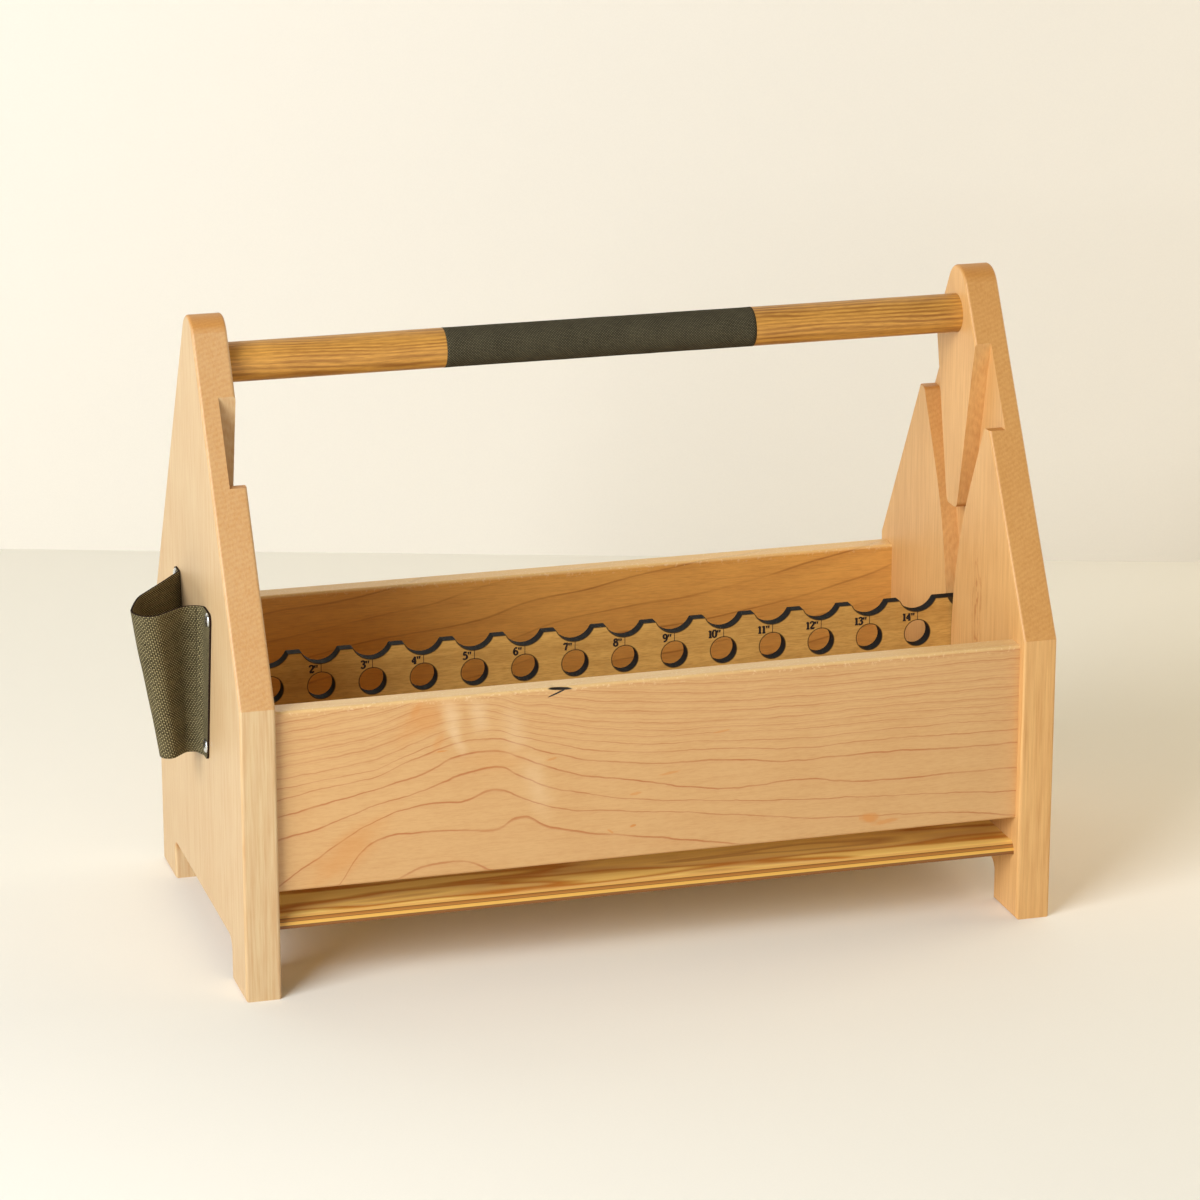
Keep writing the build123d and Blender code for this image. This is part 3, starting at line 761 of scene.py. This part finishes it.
def woven_canvas(name, crown, gap, pitch):
    """Heavy cotton canvas in a plain weave, from the cloth's own UV map in metres: round threads over and
    under one another, painted light on their tops, painted shade in the dark gaps, and uneven yarn."""
    material, add = start_material(name)
    flat = add("UVMap", {"uv_map": "cloth"})
    at = add("SeparateXYZ", {}, (flat,)).node.outputs
    turns = [add("Math", "MULTIPLY", (at[axis], pi / pitch)) for axis in ("X", "Y")]
    waves = [add("Math", "SINE", (turn,)) for turn in turns]
    # Where both waves have the same sign a warp thread is on top, and elsewhere a weft thread
    both = add("Math", "MULTIPLY", (waves[0], waves[1]))
    tops = add("Math", "ABSOLUTE", (both,))
    crowns = add("Math", "POWER", (tops, 0.6))
    over = add("MapRange", {"interpolation_type": "SMOOTHSTEP"},
               {"Value": both, "From Min": -0.25, "From Max": 0.25, "To Min": 0.55, "To Max": 1.0})
    weave = add("Math", "MULTIPLY", (crowns, over))
    scaled = add("VectorMath", "MULTIPLY", (flat, (1 / (5 * pitch), 1 / (1.2 * pitch), 1.0)))
    yarn = add("TexNoise", {}, {"Vector": scaled, "Scale": 1.0, "Detail": 2.0})
    blot = add("TexNoise", {}, {"Vector": flat, "Scale": 90.0, "Detail": 2.0})
    lit = add("Math", "MULTIPLY_ADD", (yarn, 0.35, weave))
    lit = add("Math", "MULTIPLY_ADD", (blot, 0.2, lit))
    share = add("MapRange", {}, {"Value": lit, "From Min": 0.5, "From Max": 1.1})
    # Painted light and shade: the colour runs from the painted shade of the gaps to the lit tops of the
    # threads
    colour = add("Mix", {"data_type": "RGBA"}, {"Factor": share, "A": gap, "B": crown})
    close_material(add, colour, weave, 0.00016, {"Roughness": 0.92, "Specular IOR Level": 0.12})
    return material


def sealed_edge(cloth):
    """The cloth's cut edge: a thin, dull, dark brown line."""
    material, add = start_material("dark canvas edge")
    place = caddy_millimetres(add)
    grit = stretched_noise(add, place, (0.6, 0.6, 0.6), 2.0)
    colour = add("Mix", {"data_type": "RGBA"}, {"Factor": grit, "A": cloth.cut_edge, "B": linear("241812")})
    close_material(add, colour, grit, 0.0001, {"Roughness": 0.9, "Specular IOR Level": 0.1})
    return material


def zinc_plate():
    """Steel screws, bright zinc plated and tumbled: a clean light grey mirror with faint satin patches."""
    material, add = start_material("zinc plated steel")
    place = caddy_millimetres(add)
    haze = stretched_noise(add, place, (1.2, 1.2, 1.2), 3.0)
    colour = add("Mix", {"data_type": "RGBA"}, {"Factor": haze, "A": linear("CDD2D6"), "B": linear("E6E9EB")})
    rough = add("MapRange", {}, {"Value": haze, "From Min": 0.3, "From Max": 0.7, "To Min": 0.2,
                                 "To Max": 0.34})
    close_material(add, colour, haze, 0.00002, {"Metallic": 1.0, "Roughness": rough})
    return material


def burnt_wood(ruler):
    """Figures burnt into the ruler's face with a laser: dull brown-black char."""
    material, add = start_material("laser-burnt figures")
    place = caddy_millimetres(add)
    char = stretched_noise(add, place, (0.5, 0.5, 0.5), 2.0)
    colour = add("Mix", {"data_type": "RGBA"}, {"Factor": char, "A": ruler.burnt_line, "B": linear("120B07")})
    close_material(add, colour, char, 0.0001, {"Roughness": 0.8})
    return material


class CADDY_OT_finish_ends(bpy.types.Operator):
    """Finish the two end panels in oiled maple with upright grain"""

    bl_idname = "caddy.finish_ends"
    bl_label = "Finish Ends"

    def execute(self, context):
        wood = context.scene.caddy_wood
        set_material(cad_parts["left_end_panel"],
                     oiled_maple_end(wood, "oiled maple, left end", wood.left_pale, 0.0))
        set_material(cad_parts["right_end_panel"],
                     oiled_maple_end(wood, "oiled maple, right end", wood.right_pale, 0.6))
        return {"FINISHED"}


class CADDY_OT_finish_boards(bpy.types.Operator):
    """Finish the front and back boards in oiled maple, each with its own figure"""

    bl_idname = "caddy.finish_boards"
    bl_label = "Finish Boards"

    def execute(self, context):
        wood = context.scene.caddy_wood
        set_material(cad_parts["front_board"], oiled_maple_front(wood))
        set_material(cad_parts["back_board"], oiled_maple_back(wood))
        return {"FINISHED"}


class CADDY_OT_finish_bottom(bpy.types.Operator):
    """Finish the bottom panel in oiled plywood"""

    bl_idname = "caddy.finish_bottom"
    bl_label = "Finish Bottom"

    def execute(self, context):
        set_material(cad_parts["bottom_panel"], oiled_plywood(context.scene.caddy_wood))
        return {"FINISHED"}


class CADDY_OT_finish_handle(bpy.types.Operator):
    """Finish the round handle in oiled open-grained wood"""

    bl_idname = "caddy.finish_handle"
    bl_label = "Finish Handle"

    def execute(self, context):
        set_material(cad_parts["handle_dowel"], oiled_dowel(context.scene.caddy_wood))
        return {"FINISHED"}


class CADDY_OT_finish_ruler(bpy.types.Operator):
    """Finish the planting ruler in laser-cut plywood"""

    bl_idname = "caddy.finish_ruler"
    bl_label = "Finish Ruler"

    def execute(self, context):
        scene = context.scene
        finish = burnt_ruler_plywood(scene.caddy_wood, scene.caddy_ruler)
        set_material(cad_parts["planting_ruler"], finish)
        return {"FINISHED"}


class CADDY_OT_add_figures(bpy.types.Operator):
    """Burn the inch figures and the marks over the holes into the ruler's front face"""

    bl_idname = "caddy.add_figures"
    bl_label = "Add Ruler Figures"

    def execute(self, context):
        ruler = context.scene.caddy_ruler
        build = bmesh.new()
        for number in range(1, ruler.hole_count + 1):
            x = ruler_low.x + ruler.first_hole + (number - 1) * ruler.hole_pitch
            self.draw_tick(build, ruler, x)
            self.draw_number(build, ruler, x - 1.5 * MM, str(number) + '"')
        mesh = bpy.data.meshes.new("ruler_figures")
        build.to_mesh(mesh)
        build.free()
        piece = link("ruler_figures", mesh, "ruler")
        set_material(piece, burnt_wood(ruler))
        return {"FINISHED"}

    def draw_stroke(self, build, points, edge_y):
        """Adds one stroke of the pen as a thin flat bar, from points of x, z and width in metres."""
        sides = []
        for i, (x, z, width) in enumerate(points):
            back, ahead = points[max(i - 1, 0)], points[min(i + 1, len(points) - 1)]
            way = Vector((ahead[0] - back[0], ahead[1] - back[1]))
            if way.length < 1e-9:
                way = Vector((1, 0))
            way.normalize()
            across = Vector((-way.y, way.x)) * width / 2
            corners = [(x + across.x, z + across.y), (x - across.x, z - across.y)]
            front = [build.verts.new((cx, edge_y, cz)) for cx, cz in corners]
            back_side = [build.verts.new((cx, edge_y + 0.2 * MM, cz)) for cx, cz in corners]
            sides.append((*front, *reversed(back_side)))
        for here, there in zip(sides, sides[1:]):
            for i in range(4):
                j = (i + 1) % 4
                build.faces.new((here[i], here[j], there[j], there[i]))
        build.faces.new(reversed(sides[0]))
        build.faces.new(sides[-1])

    def draw_number(self, build, ruler, right, text):
        """Draws a number with its inch mark, its right edge at right, on a line level with the hole's top."""
        size = ruler.figure_height
        base = ruler_high.z - ruler.hole_top + 0.25 * MM
        x = right - sum(FIGURES[letter][0] for letter in text) * size
        layer = 0
        for letter in text:
            width, strokes = FIGURES[letter]
            for stroke in strokes:
                points = [(x + px * size, base + pz * size, (pw + 0.14) * size)
                          for px, pz, pw in smooth_stroke(stroke)]
                # Strokes that cross lie a hair apart, so that no two faces share a plane
                self.draw_stroke(build, points, ruler_low.y - (0.03 + 0.004 * layer) * MM)
                layer += 1
            x += width * size

    def draw_tick(self, build, ruler, x):
        """Draws the fine upright line from the scallop down to the hole."""
        top = ruler_high.z - ruler.scallop_depth - 0.1 * MM
        bottom = ruler_high.z - ruler.hole_top + 0.05 * MM
        self.draw_stroke(build, [(x, bottom, 0.32 * MM), (x, top, 0.32 * MM)], ruler_low.y - 0.02 * MM)


class CADDY_OT_wrap_grip(bpy.types.Operator):
    """Wrap the handle's middle in canvas, glued round it with the seam underneath at the back"""

    bl_idname = "caddy.wrap_grip"
    bl_label = "Wrap Grip"

    def execute(self, context):
        cloth = context.scene.caddy_cloth
        length = grip_high.x - grip_low.x
        around, along = 96, 88
        inner = dowel_radius + CLOTH_GAP * MM
        seam_angle = radians(-60)
        mesh = bpy.data.meshes.new("canvas_grip")
        build = bmesh.new()
        uv = build.loops.layers.uv.new("cloth")
        rows = []
        for i in range(along + 1):
            row = []
            for j in range(around + 1):
                angle = seam_angle + 2 * pi * j / around
                x = grip_low.x + length * i / along
                soft = noise.noise(Vector((x * 60, cos(angle) * 1.5, sin(angle) * 1.5))) * 0.12 * MM
                edge_lift = 0.06 * MM * max(0.0, 1 - min(i, along - i) / 3)
                radius = inner + max(soft, 0) + edge_lift
                row.append(build.verts.new((x, radius * cos(angle), handle_z + radius * sin(angle))))
            rows.append(row)
        for i in range(along):
            for j in range(around):
                face = build.faces.new((rows[i][j], rows[i + 1][j], rows[i + 1][j + 1], rows[i][j + 1]))
                face.smooth = True
                for loop, (di, dj) in zip(face.loops, ((0, 0), (1, 0), (1, 1), (0, 1))):
                    loop[uv].uv = (length * (i + di) / along, 2 * pi * inner * (j + dj) / around)
        build.normal_update()
        build.to_mesh(mesh)
        build.free()
        piece = link("canvas_grip", mesh, "caddy")
        set_material(piece, woven_canvas("woven canvas, grip", cloth.grip_crown, cloth.grip_gap,
                                         GRIP_PITCH * cloth.thread_pitch), sealed_edge(cloth))
        thicken(piece, cloth.thickness * GRIP_THICKNESS)
        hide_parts("handle_grip")
        return {"FINISHED"}


class CADDY_OT_sew_pocket(bpy.types.Operator):
    """Bend the canvas pocket from its mouth to its foot, with a flap at each side against the left end"""

    bl_idname = "caddy.sew_pocket"
    bl_label = "Bend Pocket"

    def execute(self, context):
        cloth = context.scene.caddy_cloth
        mouth = bent_strip(MOUTH_BENDS, RUN_STEPS, BEND_STEPS)
        foot = bent_strip(FOOT_BENDS, RUN_STEPS, BEND_STEPS)
        face_x = left_low.x - CLOTH_GAP * MM
        build = bmesh.new()
        uv = build.loops.layers.uv.new("cloth")
        rows, flats = [], []
        for i in range(POCKET_ROWS + 1):
            t = i / POCKET_ROWS
            points = [low.lerp(high, t) for low, high in zip(foot, mouth)]
            height = POCKET_FOOT + (POCKET_TOP - POCKET_FOOT) * t
            row, flat, run = [], [], 0.0
            whole = sum((b - a).length for a, b in zip(points, points[1:]))
            middle_height = (POCKET_FOOT + POCKET_TOP) / 2
            for j, (out, y) in enumerate(points):
                if j:
                    run += hypot(out - points[j - 1][0], y - points[j - 1][1])
                # The flaps' corners are cut round, by drawing the rows in towards the flaps' ends
                from_end = max(0.0, min(run, whole - run, FLAP_CORNER))
                trim = FLAP_CORNER - (FLAP_CORNER ** 2 - (FLAP_CORNER - from_end) ** 2) ** 0.5
                half = (POCKET_TOP - POCKET_FOOT) / 2
                z = middle_height + (height - middle_height) * (half - trim) / half
                free = min(1.0, max(0.0, out / 8.0))
                soft = noise.noise(Vector((out * 0.07, y * 0.07, height * 0.05))) * 0.5 * free
                row.append(build.verts.new((face_x - (out + soft) * MM, y * MM, z * MM)))
                flat.append((run, z))
            rows.append(row)
            flats.append([((run - whole / 2) * MM, (z - POCKET_FOOT) * MM) for run, z in flat])
        for i in range(POCKET_ROWS):
            for j in range(len(mouth) - 1):
                corners = ((i, j), (i, j + 1), (i + 1, j + 1), (i + 1, j))
                face = build.faces.new([rows[a][b] for a, b in corners])
                face.smooth = True
                for loop, (a, b) in zip(face.loops, corners):
                    loop[uv].uv = flats[a][b]
        bmesh.ops.recalc_face_normals(build, faces=build.faces)
        build.normal_update()
        outward = sum(1 if face.normal.x < 0 else -1 for face in build.faces)
        if outward < 0:
            bmesh.ops.reverse_faces(build, faces=build.faces)
        mesh = bpy.data.meshes.new("canvas_pocket")
        build.to_mesh(mesh)
        build.free()
        piece = link("canvas_pocket", mesh, "caddy")
        set_material(piece, woven_canvas("woven canvas, pocket", cloth.pocket_crown, cloth.pocket_gap,
                                         cloth.thread_pitch), sealed_edge(cloth))
        thicken(piece, cloth.thickness)
        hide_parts("tool_pocket")
        return {"FINISHED"}


class CADDY_OT_drive_screws(bpy.types.Operator):
    """Drive a pan head screw with a cross recess at each corner of the pocket's flaps"""

    bl_idname = "caddy.drive_screws"
    bl_label = "Drive Screws"

    def execute(self, context):
        zinc = zinc_plate()
        heads = self.find_screws()
        for number, (x, y, z) in enumerate(heads, start=1):
            piece = self.make_screw(f"pocket_screw_{number}", x, y, z, 0.3 + 0.55 * number)
            set_material(piece, zinc)
        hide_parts("pocket_screws")
        return {"FINISHED"}

    def find_screws(self):
        """Where the undersides of the heads are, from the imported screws."""
        corners = [v.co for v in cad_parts["pocket_screws"].data.vertices]
        low_x = min(c.x for c in corners)
        spots = []
        for c in corners:
            if c.x < low_x + 0.02 * MM:
                for spot in spots:
                    if (spot[0] - Vector((c.y, c.z))).length < 5 * MM:
                        spot.append(Vector((c.y, c.z)))
                        break
                else:
                    spots.append([Vector((c.y, c.z))])
        if len(spots) != 4:
            raise RuntimeError(f"expected 4 screws and found {len(spots)}")
        places = []
        for spot in spots:
            ys, zs = [c.x for c in spot], [c.y for c in spot]
            places.append((low_x + HEAD_HEIGHT * MM, (min(ys) + max(ys)) / 2, (min(zs) + max(zs)) / 2))
        return places

    def make_screw(self, name, x, y, z, turn):
        """A screw along +X with the underside of its head at x, its recess turned by turn."""
        profile = [(-HEAD_HEIGHT, 0), (-1.38, .8), (-1.28, 1.6), (-1.1, 2.35), (-.85, 2.95), (-.55, 3.35),
                   (-.25, 3.5), (-.06, 3.48), (0, 3.4), (0, 1.5), (11.0, 1.5), (12.6, .7), (13.0, 0)]
        around = 40
        build = bmesh.new()
        rings = []
        for px, radius in profile:
            if radius == 0:
                rings.append([build.verts.new((px * MM, 0, 0))])
                continue
            rings.append([build.verts.new((px * MM, radius * MM * cos(2 * pi * i / around),
                                           radius * MM * sin(2 * pi * i / around))) for i in range(around)])
        for low, high in zip(rings, rings[1:]):
            for i in range(around):
                j = (i + 1) % around
                if len(low) == 1:
                    build.faces.new((low[0], high[j], high[i]))
                elif len(high) == 1:
                    build.faces.new((low[i], low[j], high[0]))
                else:
                    build.faces.new((low[i], low[j], high[j], high[i]))
        bmesh.ops.recalc_face_normals(build, faces=build.faces)
        for face in build.faces:
            face.smooth = True
        mesh = bpy.data.meshes.new(name)
        build.to_mesh(mesh)
        build.free()
        piece = link(name, mesh, "caddy")
        cutter = self.make_recess()
        cut = piece.modifiers.new("recess", "BOOLEAN")
        cut.operation = "DIFFERENCE"
        cut.solver = "EXACT"
        cut.object = cutter
        apply_modifiers(piece)
        bpy.data.objects.remove(cutter)
        piece.data.transform(Matrix.Translation((x, y, z)) @ Matrix.Rotation(turn, 4, "X"))
        return piece

    def make_recess(self):
        """The cross-shaped wedge that is cut from a screw's head."""
        build = bmesh.new()
        signs = ((-1, -1), (1, -1), (1, 1), (-1, 1))
        for wide, tall in ((3.6, 0.85), (0.85, 3.6)):
            mouth = [(-1.8, sy * wide / 2, sz * tall / 2) for sy, sz in signs]
            root = [(-0.3, sy * wide / 5.5, sz * tall / 5.5) for sy, sz in signs]
            outer = [build.verts.new(Vector(p) * MM) for p in mouth]
            inner = [build.verts.new(Vector(p) * MM) for p in root]
            build.faces.new(outer)
            build.faces.new(reversed(inner))
            for i in range(4):
                j = (i + 1) % 4
                build.faces.new((outer[j], outer[i], inner[i], inner[j]))
        bmesh.ops.recalc_face_normals(build, faces=build.faces)
        mesh = bpy.data.meshes.new("recess")
        build.to_mesh(mesh)
        build.free()
        cutter = bpy.data.objects.new("recess", mesh)
        bpy.context.scene.collection.objects.link(cutter)
        return cutter


# Two places on the line where the wall meets the floor, from the caddy's middle, in metres
WALL_LEFT = (-0.134, 0.660)
WALL_RIGHT = (0.459, 0.462)

# The camera, as solved from the photo: its lens in millimetres, its place from the caddy's middle in metres,
# and in degrees how far down it looks and how far it is turned about the upright
CAMERA_LENS = 132.85
CAMERA_PLACE = (-0.5776, -1.9870, 0.7805)
CAMERA_DOWN = 16.966
CAMERA_TURN = -16.232


class CADDY_OT_set_stage(bpy.types.Operator):
    """Set the pale floor and backdrop, the soft lamps and the camera"""

    bl_idname = "caddy.set_stage"
    bl_label = "Set Stage"

    def execute(self, context):
        stage = context.scene.caddy_stage
        context.scene.view_settings.view_transform = "Standard"
        self.lay_floor(stage)
        self.hang_wall(stage)
        self.set_lamps(stage)
        self.set_room_light(context, stage)
        self.set_camera(context)
        return {"FINISHED"}

    def plane(self, name, corners):
        """A flat piece of the stage."""
        mesh = bpy.data.meshes.new(name)
        mesh.from_pydata(corners, [], [tuple(range(len(corners)))])
        piece = bpy.data.objects.new(name, mesh)
        bpy.context.scene.collection.objects.link(piece)
        return piece

    def painted_board(self, name, colour):
        """Matt painted board with a faint mottle, seen from its front only."""
        material, add = start_material(name)
        place = add("TexCoord", {"output": "Object"})
        mottle = add("TexNoise", {}, {"Vector": place, "Scale": 900.0, "Detail": 2.0})
        bright = add("MapRange", {}, {"Value": mottle, "From Min": 0.3, "From Max": 0.7, "To Min": 0.985,
                                      "To Max": 1.0})
        shade = add("VectorMath", "SCALE", {0: colour[:3], "Scale": bright})
        shader = add("BsdfPrincipled", {}, {"Base Color": shade, "Roughness": 0.9, "Specular IOR Level": 0.1})
        behind = add("NewGeometry", {"output": "Backfacing"})
        clear = add("BsdfTransparent")
        shader = add("MixShader", {}, (behind, shader, clear))
        add("OutputMaterial", {}, {"Surface": shader})
        return material

    def lay_floor(self, stage):
        """A broad floor at the foot of the caddy."""
        size = 6.0
        floor = self.plane("floor", [(-size, -size, 0), (size, -size, 0), (size, size, 0), (-size, size, 0)])
        set_material(floor, self.painted_board("matt painted floor", stage.floor_colour))

    def hang_wall(self, stage):
        """The wall meets the floor on a line through two places behind the caddy."""
        one = Vector((middle_x + WALL_LEFT[0], WALL_LEFT[1], 0))
        two = Vector((middle_x + WALL_RIGHT[0], WALL_RIGHT[1], 0))
        along = (two - one).normalized()
        left, right = one - along * 6, one + along * 6
        up = Vector((0, 0, 6))
        wall = self.plane("wall", [right, left, left + up, right + up])
        if wall.data.polygons[0].normal.y > 0:
            wall.data.flip_normals()
        wall.visible_shadow = False
        set_material(wall, self.painted_board("matt painted wall", stage.wall_colour))

    def lamp(self, name, place, target, size, power, colour):
        """A square soft lamp that faces a target."""
        data = bpy.data.lights.new(name, "AREA")
        data.shape = "SQUARE"
        data.size = size
        data.energy = power
        data.color = colour[:3]
        lamp = bpy.data.objects.new(name, data)
        lamp.visible_camera = False
        bpy.context.scene.collection.objects.link(lamp)
        lamp.location = place
        lamp.rotation_euler = (Vector(target) - Vector(place)).to_track_quat("-Z", "Y").to_euler()

    def set_lamps(self, stage):
        """A large key lamp at the left, a lamp in front, and one that lightens the shadow at the right."""
        target = Vector((middle_x, 0, 0.12))
        around, rise = radians(36), radians(25)
        toward = Vector((-cos(around) * cos(rise), -sin(around) * cos(rise), sin(rise)))
        self.lamp("key", target + toward * 2.2, target, 1.3, stage.key_power, linear("F4F8FF"))
        self.lamp("front", target + Vector((-0.2, -2.4, 0.42)), target, 1.0, stage.front_power,
                  linear("FFF6E6"))
        self.lamp("side", target + Vector((1.3, 0.1, 0.45)), target, 0.9, stage.side_power, linear("FFEFD2"))

    def set_room_light(self, context, stage):
        """Even, warm light from all sides."""
        world = bpy.data.worlds.new("room light")
        context.scene.world = world
        world.use_nodes = True
        sky = world.node_tree.nodes["Background"]
        sky.inputs["Color"].default_value = linear("FFF1D8")
        sky.inputs["Strength"].default_value = stage.sky_strength

    def set_camera(self, context):
        """The camera at the place that the photo was taken from."""
        data = bpy.data.cameras.new("camera")
        data.sensor_width = 36.0
        data.lens = CAMERA_LENS
        data.clip_start = 0.05
        data.clip_end = 50
        camera = bpy.data.objects.new("camera", data)
        context.scene.collection.objects.link(camera)
        camera.location = (middle_x + CAMERA_PLACE[0], CAMERA_PLACE[1], CAMERA_PLACE[2])
        camera.rotation_euler = (radians(90 - CAMERA_DOWN), 0, radians(CAMERA_TURN))
        context.scene.camera = camera


OPERATORS = [
    CADDY_OT_set_stage,
    CADDY_OT_finish_ends,
    CADDY_OT_finish_boards,
    CADDY_OT_finish_bottom,
    CADDY_OT_finish_handle,
    CADDY_OT_wrap_grip,
    CADDY_OT_finish_ruler,
    CADDY_OT_add_figures,
    CADDY_OT_sew_pocket,
    CADDY_OT_drive_screws,
]


class CADDY_PT_panel(bpy.types.Panel):
    """The caddy's settings and the steps that finish it"""

    bl_idname = "CADDY_PT_panel"
    bl_label = "Garden Tool Caddy"
    bl_space_type = "VIEW_3D"
    bl_region_type = "UI"
    bl_category = "Caddy"

    def draw(self, context):
        for name, label in (("caddy_stage", "Stage"), ("caddy_wood", "Wood"), ("caddy_cloth", "Canvas"),
                            ("caddy_ruler", "Ruler")):
            box = self.layout.box()
            box.label(text=label)
            settings = getattr(context.scene, name)
            for key in settings.__annotations__:
                box.prop(settings, key)
        column = self.layout.column()
        for operator in OPERATORS:
            column.operator(operator.bl_idname)


SETTINGS = {
    "caddy_wood": CaddyWoodSettings,
    "caddy_cloth": CaddyClothSettings,
    "caddy_ruler": CaddyRulerSettings,
    "caddy_stage": CaddyStageSettings,
}


def register():
    """Adds the settings, the steps and the panel to Blender."""
    for kind in (*SETTINGS.values(), *OPERATORS, CADDY_PT_panel):
        bpy.utils.register_class(kind)
    for name, settings in SETTINGS.items():
        setattr(bpy.types.Scene, name, bpy.props.PointerProperty(type=settings))


def unregister():
    """Takes them out again."""
    for name in SETTINGS:
        delattr(bpy.types.Scene, name)
    for kind in (CADDY_PT_panel, *reversed(OPERATORS), *reversed(SETTINGS.values())):
        bpy.utils.unregister_class(kind)


def main():
    """Runs every step in order."""
    register()
    for operator in OPERATORS:
        group, name = operator.bl_idname.split(".")
        getattr(getattr(bpy.ops, group), name)()


if __name__ == "__main__":
    main()
